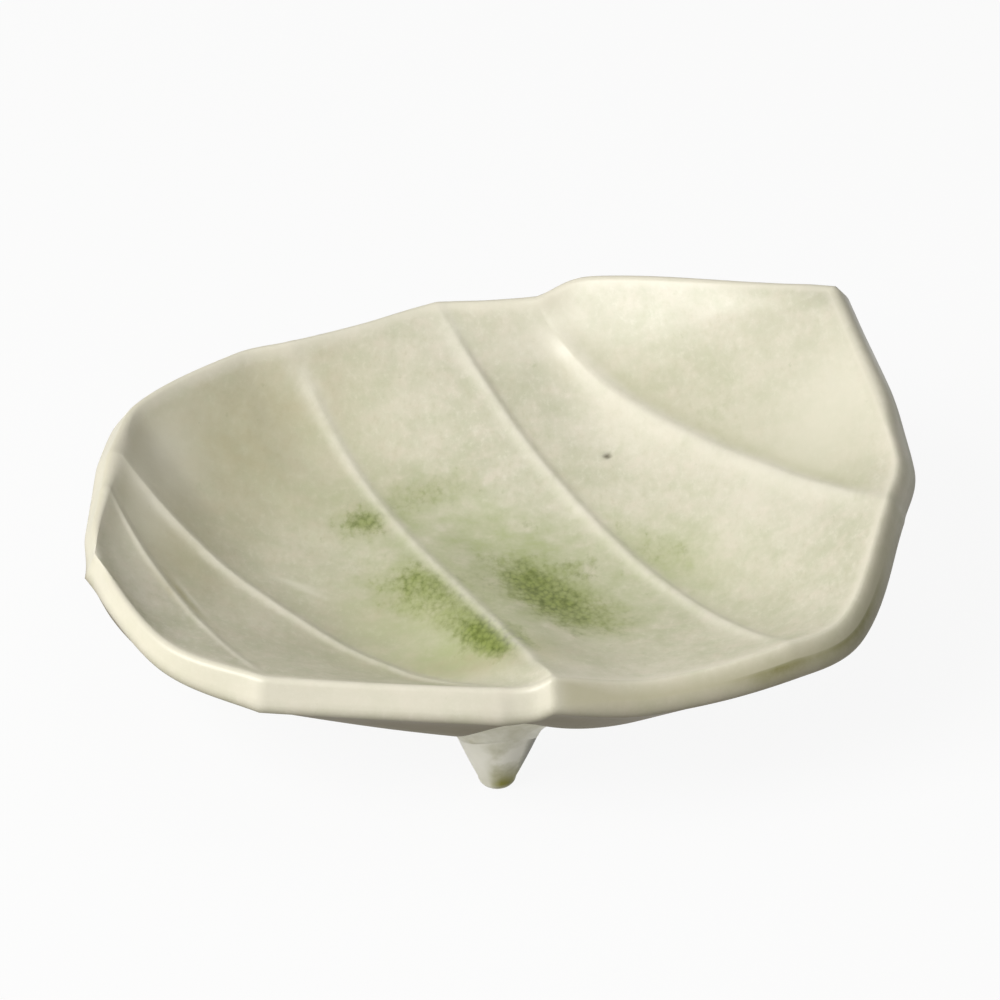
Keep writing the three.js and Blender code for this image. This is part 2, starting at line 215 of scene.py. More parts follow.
# From the low tip on the left to the high tip on the right. A line with a rise is a fold or a tip.
LINES = [
    cross_line([-72.9, -21.5, 15.2], [-72.9, -21.5, 15.2], rise=0.0),
    cross_line([-72.8, -10.8, 15.7], [-58.2, -45.6, 13], sag=2.6, lean=0.65),
    cross_line([-71.9, -0.3, 16.2], [-40.5, -55.8, 12], sag=6.2, lean=0.72, fullness=2.2,
               rise=0.22, drop=0.1, width=0.9, creased=True),
    cross_line([-70.5, 10.8, 16.7], [0.5, -57.2, 10.5], sag=12.6, fullness=2.5, bow=-0.4,
               rise=0.28, drop=0.1, width=1.5, creased=True),
    cross_line([-68.3, 29, 17], [3.5, -57.3, 10.9], sag=14, lean=0.9, fullness=2.4),
    cross_line([-51, 48, 17.2], [6.8, -57.4, 11.7], sag=14.8, lean=0.68, under_lean=1,
               fullness=2.3, bow=1.5),
    cross_line([-40.5, 52.3, 17.5], [9.6, -57.5, 13.1], sag=15.1, lean=0.47, under_lean=1.5,
               bow=3.1, sway=0.55, rise=0.25, drop=0.1, width=1.2, creased=True),
    cross_line([-27.5, 57.5, 18.6], [27, -54, 10.5], sag=15, lean=0.78, under_lean=1.7, bow=1),
    cross_line([-12, 63, 20.2], [51, -47.6, 13.5], sag=16.2, lean=1.16, bow=0.9, sway=0.4,
               rise=0.38, drop=0.35, width=1.4),
    cross_line([-2, 62.5, 21], [61.6, -39.8, 15], sag=14.3, lean=0.85, fullness=2.5, bow=0.6),
    cross_line([8, 62, 21.6], [70.5, -14, 22], sag=11.3, lean=0.5, fullness=2.7, bow=0.3, sway=0.9,
               rise=0.38, drop=0.9, width=2.1, back_fade=0.3, creased=True),
    cross_line([19, 63, 26], [73.2, 0, 24.2], sag=9, lean=0.8, fullness=2.5),
    cross_line([64.5, 48.5, 32], [64.5, 48.5, 32], rise=0.0),
]


def chord(line, v):
    """Points of a line's chord, v = 0 on the back rim and 1 on the front rim."""
    v = np.asarray(v, float)[..., None]
    run = line["front"] - line["back"]
    sideways = np.array([-run[1], run[0], 0.0]) / max(math.hypot(run[0], run[1]), 1e-9)
    aside = line["bow"] * 4 * v * (1 - v) - line["sway"] * np.sin(2 * math.pi * v)
    return line["back"] + run * v + sideways * aside


def hang(line, v, lean):
    """How far a line hangs below its chord."""
    leaned = v / (v + lean * (1 - v))
    return line["sag"] * (1 - np.abs(2 * leaned - 1) ** line["fullness"])


middles = np.array([chord(line, 0.5) for line in LINES])
STATIONS = np.concatenate([[0], np.cumsum(np.hypot(*np.diff(middles[:, :2], axis=0).T))])
FOLDS = [k for k, line in enumerate(LINES) if line["rise"] is not None]
print("stations in mm", STATIONS.round(1).tolist())

# %% [markdown]
# ## The folded surface
# Between the lines the depth follows a smooth cubic, so the slab bends like one sheet of clay. At a
# crease the slope is read from one side only, and that leaves a sharp bend. A subdivided mesh with
# creased edges would look alike, but a formula can be read at any spacing.

# %% Smooth runs across the lines
def smoothstep(x, low, high):
    t = np.clip((x - low) / (high - low), 0, 1)
    return t * t * (3 - 2 * t)


def run_slope(values, k, side, tip_slope):
    """Slope of a run of values at a line. At a crease it follows one side only."""
    last = len(LINES) - 1
    if k in (0, last) and tip_slope is not None:
        return tip_slope
    creased = LINES[k]["creased"]
    before = k if k == 0 or (creased and side > 0) else k - 1
    after = k if k == last or (creased and side < 0) else k + 1
    return (values[after] - values[before]) / (STATIONS[after] - STATIONS[before])


def run_at(values, gap, share, tip_slope=None):
    """Smooth cubic run of values across the lines, read at shares of the gap between two of them."""
    width = STATIONS[gap + 1] - STATIONS[gap]
    leaving = run_slope(values, gap, 1, tip_slope) * width
    arriving = run_slope(values, gap + 1, -1, tip_slope) * width
    s = share.reshape((-1,) + (1,) * values[gap].ndim)
    r = 1 - s
    return (values[gap] * r * r * (1 + 2 * s) + values[gap + 1] * s * s * (1 + 2 * r)
            + leaving * s * r * r - arriving * s * s * r)


sags = np.array([line["sag"] for line in LINES])
print("sag halfway between the first two lines", run_at(sags, 0, np.array([0.5])).round(2), "mm")

# %% [markdown]
# ## Pleats and dents
# On top of the bowl come the pleats: a narrow crest along each fold, a drop on its right side, and a
# slight hollow in each panel. A crest sinks into the rim at both ends, as a pinched fold does where the
# rim is cut and wiped. The glaze runs off it and leaves a pale line. Distances are measured in plan,
# which is close enough on a shallow dish. A noise stands in for the dents of hands.

# %% Pleats, distances and dents
PANEL_HOLLOW = 0.35  # mm, in the middle of a panel
RIM_FOLD_SHARE = 0.2  # what is left of a fold where it sinks into the rim
RIM_FOLD_FADE = 0.13
LEAST_PANEL = 1.7  # a panel is never taken as narrower than this, mm
PALE_WIDTH = 1.25  # a fold's pale line, in widths of the fold
PALE_FLARE, PALE_FLARE_END = 1.3, 0.16  # how much it flares at the back rim, and over what share of the fold


def fold_fade(line):
    """How much of a fold stands proud along its length: it sinks into the rim at both ends."""
    stands = smoothstep(v, 0, line["back_fade"]) * smoothstep(1 - v, 0, RIM_FOLD_FADE)
    return RIM_FOLD_SHARE + (1 - RIM_FOLD_SHARE) * stands


def pale_line(line, distance):
    """Where the glaze ran off a fold: wider than its crest, and widest where it meets the back rim."""
    reach = line["width"] * (PALE_WIDTH + PALE_FLARE * (1 - smoothstep(v, 0, PALE_FLARE_END)))
    strength = smoothstep(v, -0.3, line["back_fade"]) * smoothstep(1 - v, -0.06, RIM_FOLD_FADE)
    return np.sign(line["rise"]) * strength * np.exp(-(distance / reach) ** 2)


def plan_distance(a, b):
    return np.hypot(a[..., 0] - b[..., 0], a[..., 1] - b[..., 1])


def soft_noise(points, size_mm, seed):
    """Smooth noise between about -1 and 1, with lumps of the given size."""
    offset = np.array([seed * 17.3, seed * 5.1, seed * 9.7])
    places = points.reshape(-1, 3) / size_mm + offset
    return np.array([noise.noise(Vector(place)) for place in places]).reshape(points.shape[:-1])


print("folds at lines", FOLDS)

# %% [markdown]
# ## Two grids
# One grid is the inside of the dish and the other the underside. A grid column runs along the lines and a
# row runs across them. The spacing is about half a millimetre, fine enough for a crest that is two
# millimetres wide. The slab could be sculpted by hand instead, but a grid between named lines can be
# measured and changed. While the inside is made, the distance to the folds is kept for the glaze.

# %% Inside and underside grids
COLUMN_SPACING = 0.45
ROWS = 170
LEAST_COLUMNS = 4  # between two lines
BESIDE_PLACE = 1.5  # painted shade beside a fold on its right, this many of its widths from the crest
BESIDE_REACH, BESIDE_SHARE = 1.5, 0.6  # over this many mm and by this share

v = np.linspace(0, 1, ROWS + 1)
chords = np.array([chord(line, v) for line in LINES])
inside_depths = np.array([hang(line, v, line["lean"]) for line in LINES])
under_depths = np.array([hang(line, v, line["under_lean"]) for line in LINES])

inside, outside, relief, crest, valley = [], [], [], [], []
for gap in range(len(LINES) - 1):
    count = max(LEAST_COLUMNS, round((STATIONS[gap + 1] - STATIONS[gap]) / COLUMN_SPACING))
    share = np.linspace(0, 1, count + 1)[(1 if gap else 0):]
    flat = run_at(chords, gap, share)
    top, under = flat.copy(), flat.copy()
    top[..., 2] += FLOOR_HEIGHT - run_at(inside_depths, gap, share, 0.0)
    under[..., 2] += FLOOR_HEIGHT - run_at(under_depths, gap, share, 0.0)
    left = LINES[max(k for k in FOLDS if k <= gap)]
    right = LINES[min(k for k in FOLDS if k > gap)]
    from_left = plan_distance(top, chord(left, v))
    from_right = plan_distance(top, chord(right, v))
    width = np.maximum(from_left + from_right, LEAST_PANEL)
    left_crest = fold_fade(left) * np.exp(-(from_left / left["width"]) ** 2)
    right_crest = fold_fade(right) * np.exp(-(from_right / right["width"]) ** 2)
    fall = fold_fade(left) * (1 - np.exp(-(from_left / left["width"]) ** 2)) * (1 - from_left / width) ** 2
    pleat = left["rise"] * left_crest + right["rise"] * right_crest - left["drop"] * fall
    relief.append(pleat - PANEL_HOLLOW * 4 * (from_left / width) * (from_right / width))
    inside.append(top)
    outside.append(under)
    crest.append(pale_line(left, from_left) + pale_line(right, from_right))
    # the valley mark is olive glaze where a panel drops from a fold, and painted shade just right of the
    # crest
    beside = np.exp(-((from_left - BESIDE_PLACE * left["width"]) / BESIDE_REACH) ** 2)
    valley.append((fall + BESIDE_SHARE * fold_fade(left) * beside) * left["drop"])
inside, outside, relief = np.concatenate(inside), np.concatenate(outside), np.concatenate(relief)
crest, valley = np.concatenate(crest), np.concatenate(valley)
COLUMNS = len(inside)
print("grid", COLUMNS, "by", ROWS + 1, "points, crest up to", crest.max().round(2))

# %% [markdown]
# ## Pressed bowl
# A potter presses the slab into its bowl first and pinches up the pleats after that. So the bowl is
# smoothed away from the rim, which takes out the corners between the lines, and the pleats are added to
# it. Hands leave soft dents too. Noise makes them, and it fades out at the rim, where the outline has to
# stay true. A pinhole in the glaze is a tiny pit.

# %% Pressed bowl, dents and pinhole
PRESS_ROUNDS = 285  # rounds of smoothing
PRESSED = (1.5, 10)  # the pressing begins and is complete at these distances from the rim, mm
DENTED = (1.0, 9.0)  # and so do the dents
DENTS = [(15, 0.28, 1), (5, 0.10, 2)]  # size and depth in mm, and the seed of the noise
TIP_WIPE, TIP_WIPE_REACH = 0.7, 4  # the high tip is wiped round
PIT, PIT_RADIUS, PIT_DEPTH = np.array([21.4, 29.2]), 0.7, 0.4  # the pinhole, in mm of the drawing

rim_points = (inside[:, :1], inside[:, -1:], inside[0, 0], inside[-1, 0])
inset = np.min([plan_distance(inside, near) for near in rim_points], axis=0)
pressed = inside[..., 2].copy()
for _ in range(PRESS_ROUNDS):
    pressed[1:-1] = (pressed[:-2] + 2 * pressed[1:-1] + pressed[2:]) / 4
inside[..., 2] += smoothstep(inset, *PRESSED) * (pressed - inside[..., 2]) + relief
dents = sum(depth * soft_noise(inside, size, seed) for size, depth, seed in DENTS)
inside[..., 2] += smoothstep(inset, *DENTED) * dents
inside[..., 2] -= TIP_WIPE * np.exp(-(plan_distance(inside, inside[-1, 0]) / TIP_WIPE_REACH) ** 2)
pit = np.exp(-(plan_distance(inside, PIT) / PIT_RADIUS) ** 2)
inside[..., 2] -= PIT_DEPTH * pit
print("deepest dent", round(dents.min(), 2), "mm")

# %% [markdown]
# ## Underside
# A slab of clay is about as thick everywhere, so its underside is the outer grid moved out by that
# thickness. A solidify modifier would do this with one setting. By hand the slab can thin out towards the
# rim and the low tip, and the cut edge can stand upright at both tips, as a knife leaves it.

# %% Underside
RIM_THICKNESS, BELLY_THICKNESS, RIM_TAPER = 6.8, 8.8, 12.0
LEAN_OUT = 0.9  # the cut edge below the high tip leans out at its foot, mm
LEAN_X, LEAN_Y, LEAN_INSET = (48, 60), (8, 34), 9  # where that begins and is complete, and how deep it goes
LEAN_WAY = np.array([0.9, -0.3, 0.0])
TIP_THINNING = 0.22  # in front of the low tip the slab is thinner by this share
THINNED, THINNED_Y = (18, 46), (-22, -2)  # where it gets back to full: distance from the tip, and y, mm
BELLY = [(11, -45, 8, 1.0), (29, -43, 9, -0.8)]  # swellings under the front: place, reach and depth, mm
CALM_ROUNDS = 120  # rounds of smoothing for the slant of the slab
SLANT_REACH = 8.0  # the slant of the slab is read over this distance to either side
TIPS = {0: (0.3, 44.0), COLUMNS - 1: (-0.3, 40.0)}  # how far the edge turns upright at a tip, and its reach


def slant_points(grid, axis, step):
    """For each grid point, the first one in a direction that is far enough away, or the last one there."""
    limit = grid.shape[axis] - 1
    index = np.indices(grid.shape[:2])
    found = grid.copy()
    for _ in range(limit):
        near = plan_distance(found, grid) < SLANT_REACH
        index[axis] = np.where(near, np.clip(index[axis] + step, 0, limit), index[axis])
        found = grid[index[0], index[1]]
    return found


run_across = slant_points(outside, 0, 1) - slant_points(outside, 0, -1)
run_along = slant_points(outside, 1, 1) - slant_points(outside, 1, -1)
normals = np.cross(run_along, run_across)
normals[0], normals[-1] = normals[1], normals[-2]
normals /= np.linalg.norm(normals, axis=2, keepdims=True)
slants = normals.copy()
for column, (upright, reach) in TIPS.items():
    own = slants[column, ROWS // 2]
    own = own + (np.array([0.0, 0.0, 1.0]) - own) * upright
    share = smoothstep(plan_distance(outside, outside[column, 0]), 0, reach)[..., None]
    normals = own + (normals - own) * share
for _ in range(CALM_ROUNDS):
    normals[1:-1] = (normals[:-2] + 2 * normals[1:-1] + normals[2:]) / 4
normals /= np.linalg.norm(normals, axis=2, keepdims=True)
thickness = RIM_THICKNESS + (BELLY_THICKNESS - RIM_THICKNESS) * smoothstep(inset, 0, RIM_TAPER)
from_tip = plan_distance(outside, outside[0, 0])
near_tip = (1 - smoothstep(from_tip, *THINNED)) * (1 - smoothstep(outside[..., 1], *THINNED_Y))
thickness *= 1 - TIP_THINNING * near_tip
underside = outside - normals * thickness[..., None]
leaning = LEAN_OUT * smoothstep(outside[..., 0], *LEAN_X) * smoothstep(outside[..., 1], *LEAN_Y)
leaning *= 1 - smoothstep(inset, 0, LEAN_INSET)
underside += leaning[..., None] * LEAN_WAY
for x, y, reach, depth in BELLY:
    away = (outside[..., 0] - x) ** 2 + (outside[..., 1] - y) ** 2
    underside[..., 2] -= depth * np.exp(-away / reach ** 2)
print("slab", thickness.min().round(1), "to", thickness.max().round(1), "mm thick")

# %% [markdown]
# ## The skin of the dish
# Both grids become one list of points and faces. The two tips are single points, so the grids close there
# without a seam. Each point also keeps marks for the glaze: how near it is to a fold, the rim or a
# valley, whether it lies underneath, with painted shade that is darkest along the underside's edge, and
# where shade is painted down the edge. The valley mark is olive glaze with painted shade beside the folds.
# A shader can read such marks, so no picture has to be painted and wrapped around the dish.

# %% Points, faces and marks
RIM_PALE_REACH = 2.6  # the glaze is pale this far in from the rim, mm
CORNER, CORNER_REACH, CORNER_SHARE = np.array([14.5, -54]), 4, 0.8  # and in a patch by the front corner
UNDER_SHADE_INSET, UNDER_SHADE_FADE = (9, 30), 0.6  # painted shade: the underside is darkest along its edge, and fades by this share between these distances from the rim

points, faces = [], []
# run is painted shade on the edge, and under darkens towards the underside's edge with painted shade
marks = {"fold": [], "rim": [], "valley": [], "under": [], "pit": [], "run": [], "gather": []}


def add_point(point, **marked):
    """Adds a point of the skin with its marks for the glaze. A mark that isn't given is 0."""
    points.append((point + PLAN_SHIFT) * MM)
    for name, values in marks.items():
        values.append(float(marked.get(name, 0.0)))
    return len(points) - 1


def add_face(*corners):
    kept = [c for k, c in enumerate(corners) if c != corners[k - 1]]
    if len(kept) > 2:
        faces.append(kept)


rim_near = 1 - smoothstep(inset, 0.0, RIM_PALE_REACH)
corner_near = CORNER_SHARE * np.exp(-(plan_distance(inside, CORNER) / CORNER_REACH) ** 2)
rim_near = np.maximum(rim_near, corner_near)
painted_under_shade = 1 - UNDER_SHADE_FADE * smoothstep(inset, *UNDER_SHADE_INSET)
upper = np.zeros((COLUMNS, ROWS + 1), int)
lower = np.zeros((COLUMNS, ROWS + 1), int)
for i in range(COLUMNS):
    for j in range(ROWS + 1):
        if i in (0, COLUMNS - 1) and j > 0:
            upper[i, j], lower[i, j] = upper[i, 0], lower[i, 0]
        else:
            upper[i, j] = add_point(inside[i, j], fold=crest[i, j], rim=rim_near[i, j],
                                    valley=valley[i, j], pit=pit[i, j])
            lower[i, j] = add_point(underside[i, j], under=painted_under_shade[i, j])
for i in range(COLUMNS - 1):
    for j in range(ROWS):
        add_face(upper[i, j], upper[i, j + 1], upper[i + 1, j + 1], upper[i + 1, j])
        add_face(lower[i, j], lower[i + 1, j], lower[i + 1, j + 1], lower[i, j + 1])
print("both sides", len(points), "points", len(faces), "faces")

# %% [markdown]
# ## The cut rim
# The rim is cut with a knife and wiped with a wet finger, so its edge is a flat face between two rounded
# bends. A bevel modifier would round every edge alike. A walk round the rim lets the rounding change:
# crisp on the left, softer right of the front corner, fuller towards the high tip. The same walk says
# where shade is painted on the edge: right of the front corner and on the left rim.

# %% Walk round the rim
SOFT_X = (10, 22)  # right of the front corner the edge gets softer
FULL_Y, FULL_SHARE = (5, 20), 0.7  # towards the high tip its bulge gets fuller
HIGH_TIP_REACH, HIGH_TIP_SHARE = 9, 0.6  # at the high tip it is fuller too
LOW_TIP_REACH = 12  # and the low tip is wiped back
SWELL_PLACE, SWELL_REACH, SWELL_SHARE = LINES[3]["back"], 9, 0.9  # it swells where the second fold ends
GATHER_X, GATHER_REACH, GATHER_Y = (48, 61.5), 6, (-40, -20)  # two olive runs by the right corner
EDGE_SHADE_X, EDGE_SHADE_Y, EDGE_SHADE_SHARE, EDGE_SHADE_FADE = (8, 13), (-38, 5), 0.75, 0.6  # painted shade on the edge right of the front corner, which faces away from the lamp
LEFT_EDGE_SHADE = [(0, -72, -62, 0.3), (1, -50, -38, 0.18)]  # painted shade on the left rim too: 0 behind or 1 in front, x and share

rim_walk = [(i, 0) for i in range(COLUMNS)] + [(i, ROWS) for i in range(COLUMNS - 2, 0, -1)]
rim_top = np.array([inside[i, j] for i, j in rim_walk])
rim_low = np.array([underside[i, j] for i, j in rim_walk])
along = np.roll(rim_top, -1, axis=0) - np.roll(rim_top, 1, axis=0)
inward = rim_low - rim_top
inward /= np.linalg.norm(inward, axis=1, keepdims=True)
outward = np.cross(along, inward)
outward /= np.linalg.norm(outward, axis=1, keepdims=True)

in_front = np.array([float(j == ROWS) for i, j in rim_walk])
soft = in_front * smoothstep(rim_top[:, 0], *SOFT_X)
full = in_front * smoothstep(rim_top[:, 1], *FULL_Y)
by_high_tip = 1 - smoothstep(plan_distance(rim_top, inside[-1, 0]), 0, HIGH_TIP_REACH)
full = FULL_SHARE * np.maximum(full, HIGH_TIP_SHARE * by_high_tip)
full -= 1 - smoothstep(plan_distance(rim_top, inside[0, 0]), 0, LOW_TIP_REACH)
full += SWELL_SHARE * np.exp(-(plan_distance(rim_top, SWELL_PLACE) / SWELL_REACH) ** 2)
gathers = sum(np.exp(-((rim_top[:, 0] - x) / GATHER_REACH) ** 2) for x in GATHER_X)
gathers *= in_front * (1 - smoothstep(rim_top[:, 1], *GATHER_Y))
painted_edge_shade = in_front * smoothstep(rim_top[:, 0], *EDGE_SHADE_X)
painted_edge_shade *= EDGE_SHADE_SHARE - EDGE_SHADE_FADE * smoothstep(rim_top[:, 1], *EDGE_SHADE_Y)
for front, low, high, share in LEFT_EDGE_SHADE:
    painted_edge_shade += share * (in_front == front) * (1 - smoothstep(rim_top[:, 0], low, high))
print("rim walk of", len(rim_walk), "steps, runs up to", painted_edge_shade.max().round(2))

# %% [markdown]
# ## Bands across the rim
# At each step of the walk a row of points leads from the inside over the edge to the underside: the upper
# bend, the flat face and the lower bend. Faces join each row to the next, so the skin is closed all
# round. The pale line of the rim and the olive runs fade out below, where the coat was wiped off, and so
# does the painted shade of the edge.

# %% Bands across the rim
EDGE_BULGE = 1.25  # how far the face stands out from the two grids, mm
EDGE_ROUNDING, LOWER_ROUNDING = 1.2, 1.8  # height of the upper and of the lower bend, mm
SOFT_ROUNDING = 1.8  # added to the upper bend where the edge is soft
EDGE_STEPS, FACE_STEPS = 5, 4
SOFT_FADE = 0.4  # a softer edge is less pale

bends = np.linspace(0, math.pi / 2, EDGE_STEPS + 1)[1:]
across = np.linspace(0, 1, FACE_STEPS + 1)[1:-1]
bands = []
for k, (i, j) in enumerate(rim_walk):
    bulge = [EDGE_BULGE * (1 + full[k]) * math.sin(b) * outward[k] for b in bends]
    drop = [(1 - math.cos(b)) * inward[k] for b in bends]
    rounding = EDGE_ROUNDING + SOFT_ROUNDING * soft[k]
    upper_bend = [rim_top[k] + out + rounding * down for out, down in zip(bulge, drop)]
    lower_bend = [rim_low[k] + out - (LOWER_ROUNDING + soft[k]) * down for out, down in zip(bulge, drop)]
    # run carries the painted shade of the edge
    pale, run, gather = 1 - SOFT_FADE * soft[k], painted_edge_shade[k], gathers[k]
    band = [upper[i, j]]
    for n, p in enumerate(upper_bend):
        band.append(add_point(p, rim=pale, run=run * (n + 1) / EDGE_STEPS))
    for s in across:
        p = upper_bend[-1] + (lower_bend[-1] - upper_bend[-1]) * s
        band.append(add_point(p, rim=pale, run=run, gather=gather * (0.5 + s / 2)))
    for n, p in enumerate(reversed(lower_bend)):
        turned = (n + 1) / (EDGE_STEPS + 1)
        band.append(add_point(p, rim=pale * (1 - turned), under=turned ** 1.5, run=run * (1 - turned),
                              gather=gather * (1 - turned)))
    band.append(lower[i, j])
    bands.append(band)
for k, band in enumerate(bands):
    following = bands[(k + 1) % len(bands)]
    for step in range(len(band) - 1):
        add_face(band[step], following[step], following[step + 1], band[step + 1])
print("rim", len(bands), "bands of", len(bands[0]), "points")

# %% [markdown]
# ## The dish as an object
# The lists become one closed mesh, and the marks become attributes on its points. The dish takes the
# place of the solid model's dish, rides on its body and fills its material slot.

# %% Dish object
dish_mesh = bpy.data.meshes.new("glazed_dish")
dish_mesh.from_pydata(points, [], faces)
dish_mesh.validate()
dish_mesh.shade_smooth()
for name, values in marks.items():
    dish_mesh.attributes.new(name, "FLOAT", "POINT").data.foreach_set("value", values)
dish = bpy.data.objects.new("glazed_dish", dish_mesh)
bpy.context.scene.collection.objects.link(dish)
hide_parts("dish")
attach(dish, "root")
print("dish", len(points), "points", len(faces), "faces")

# %% [markdown]
# ## Green pools
# Copper or iron in the glaze turns green where it lies thick. On this plate it ran into the floor of the
# middle panels and stopped there in soft patches with darker hearts and a pale haze around them. Each
# patch is a place on the floor with a reach in two directions and a turn. One haze patch is painted shade
# in the low front behind the rim. Two more tables say where the coat is thick and olive or thin and cream,
# and they also hold painted shade where the inside turns away from the lamp and painted light on lighter
# slopes and as highlight streaks. A mask could be painted by hand, but a table can be read and changed.

# %% Patches of the glaze
POOLS = [
    # x, y in mm from the middle of the plate, reach along and across, turn in degrees, strength
    (-26, 9, 8, 6, 20, 0.75),
    (-13, 19, 12, 6, 10, 0.6),
    (-14.5, -14, 13, 9, -45, 0.9),
    (-3.8, -34, 14, 5, -60, 1.1),
    (9.5, -15, 16, 8.5, -60, 1.0),
    (17, -25, 11, 8, -45, 0.6),
    (28, -2, 15, 6, -45, 0.5),
]
HEARTS = [
    (8.5, -16.5, 15, 6, -60, 1.0),
    (14.5, -5, 6, 3.5, 10, 0.4),
    (-14, -14, 10, 6, -45, 0.5),
    (-1.4, -37.5, 9, 4, -60, 1.5),
    (-26, 9, 6, 4, 20, 0.6),
    (28, 0, 6, 4, -45, 0.15),
]
HAZE_AND_PAINTED_SHADE = [
    (-14, 8, 24, 14, -30, 0.6),
    (12, -16, 28, 18, -50, 0.8),
    (-12, -25, 22, 13, -55, 0.75),
    (32, -6, 16, 8, -45, 0.6),
    (5, 3, 12, 8, -40, 0.4),
    # painted shade in the low front behind the rim
    (-10, -41, 14, 7, -10, 0.5),
]
THICK_GLAZE_AND_PAINTED_SHADE = [
    # thick olive glaze, and painted shade where the inside turns away from the lamp and in the low front
    # behind the rim
    (-48, 16, 30, 20, 35, 0.52),
    (-50, 34, 24, 11, 35, 0.5),
    (-57.4, -28, 7, 0.8, -60.5, 0.8),
    (-60.6, -26, 6, 0.7, -60.5, 0.8),
    (-30, -30, 20, 12, -40, 0.25),
    (-63, -8, 24, 9, -62, 0.55),
    (-5, -44, 15, 7, -10, 0.8),
    (-21, -21, 14, 9, -45, 0.35),
    (13.5, 48.5, 4.5, 3.5, -50, 0.35),
]
THIN_GLAZE_AND_PAINTED_LIGHT = [
    # thin cream glaze, and painted light: lighter slopes, lit places by the rims and highlight streaks
    (-56, -27.3, 6, 0.5, -60.5, 0.7),
    (-38, -12, 4.5, 1.0, -20, 0.6),
    (-35, -14.5, 3.5, 0.8, -25, 0.5),
    (-66, 2, 26, 7, 80, 0.6),
    (-67, 17, 10, 5, 75, 0.4),
    (62, 14, 22, 16, 60, 0.8),
    (10, 54, 12, 7, 0, 0.35),
    (40, 46, 22, 8, -10, 0.15),
    (24, 31, 15, 4.5, -51, 0.4),
]
print("patches", [len(table) for table in (HAZE_AND_PAINTED_SHADE, POOLS, HEARTS, THICK_GLAZE_AND_PAINTED_SHADE, THIN_GLAZE_AND_PAINTED_LIGHT)])

# %% [markdown]
# ## Patches on the points
# The tables become numbers on the points of the dish, which a shader reads by name. Soft ovals are
# enough, because the shader breaks up their edges. They stay off the underside and the rim, where the
# coat ran off.

# %% Patches on the points
spots = np.array(points) / MM


def patches(table):
    """Sum of soft oval patches at the points of the dish."""
    total = np.zeros(len(spots))
    for x, y, along_reach, across_reach, turn, strength in table:
        c, s = math.cos(math.radians(turn)), math.sin(math.radians(turn))
        dx, dy = spots[:, 0] - x, spots[:, 1] - y
        lengthwise, sideways = (c * dx + s * dy) / along_reach, (c * dy - s * dx) / across_reach
        total += strength * np.exp(-lengthwise ** 2 - sideways ** 2)
    return total * (np.array(marks["under"]) == 0) * (1 - np.array(marks["rim"]))


# the thick mark holds painted shade as well as thick glaze, the thin mark painted light as well as thin
# glaze, and the haze one patch of painted shade
for name, table in (("haze_and_painted_shade", HAZE_AND_PAINTED_SHADE), ("pool", POOLS), ("heart", HEARTS), ("thick", THICK_GLAZE_AND_PAINTED_SHADE), ("thin_glaze_and_painted_light", THIN_GLAZE_AND_PAINTED_LIGHT)):
    values = patches(table)
    dish_mesh.attributes.new(name, "FLOAT", "POINT").data.foreach_set("value", values)
    print(name, "up to", values.max().round(2))

# %% [markdown]
# ## Rings for feet and coils
# Each foot is a cone rolled between the palms and pressed onto the slab, and a thin coil of clay closes
# the joint. A spin of one outline would give a flat top. A stack of rings lets the top follow the curved
# underside, and a ray from the table upwards finds the height of the underside above any point.

# %% Rings and seats
FOOT_SIDES = 72
PAD_RADIUS, TIP_RADIUS, TIP_ROUNDING = 1.6, 3.5, 1.9
WAIST_RADIUS, TOP_RADIUS = 6.3, 8.4
JOINT_GAP = 0.3  # the solid model keeps this gap where the kiln fuses the pieces, mm

underneath = BVHTree.FromPolygons(points, faces)
turns = np.linspace(0, 2 * math.pi, FOOT_SIDES, endpoint=False)


def seat_height(x, y):
    """Height of the underside above a point of the table, less the joint, in mm of the frame."""
    hit = underneath.ray_cast(Vector((x, y, 0)) * MM, Vector((0, 0, 1)))
    return hit[0].z / MM - JOINT_GAP


def foot_radius(share):
    """The flank of a foot, from its tip at 0 to the slab at 1."""
    return (1 - share) ** 2 * TIP_RADIUS + 2 * share * (1 - share) * WAIST_RADIUS + share ** 2 * TOP_RADIUS


def ring(place, radius, heights):
    return np.stack([place[0] + radius * np.cos(turns), place[1] + radius * np.sin(turns), heights], axis=1)


def skin_rings(name, rings, closed):
    """One closed mesh over a stack of rings, capped at both ends or joined into a loop."""
    stack = np.array(rings)
    levels, sides = stack.shape[:2]
    made = bpy.data.meshes.new(name)
    quads = []
    for row in range(levels if closed else levels - 1):
        here, there = row * sides, ((row + 1) % levels) * sides
        for s in range(sides):
            n = (s + 1) % sides
            quads.append((here + s, here + n, there + n, there + s))
    if not closed:
        quads += [tuple(range(sides))[::-1], tuple(range((levels - 1) * sides, levels * sides))]
    made.from_pydata(stack.reshape(-1, 3) * MM, [], quads)
    made.shade_smooth()
    piece = bpy.data.objects.new(name, made)
    bpy.context.scene.collection.objects.link(piece)
    return piece


print("a foot is", round(2 * foot_radius(0.5), 1), "mm wide at half its height")

# %% [markdown]
# ## Rolled feet
# A foot is a cone with a rounded tip and a small flat pad. Its flank is a curve from the tip to the slab,
# slightly full like clay that was rolled and then pressed. Its top has the slope of the slab. How far a
# point lies to the right is stored on the foot for its glaze. A cone primitive would have a level top and
# a hard edge round its pad.

# %% Feet
FOOT_STEPS, TIP_STEPS = 36, 6
INNER_RINGS = (0.67, 0.34)  # on the top of a foot, as shares of its radius
level = np.zeros(FOOT_SIDES)


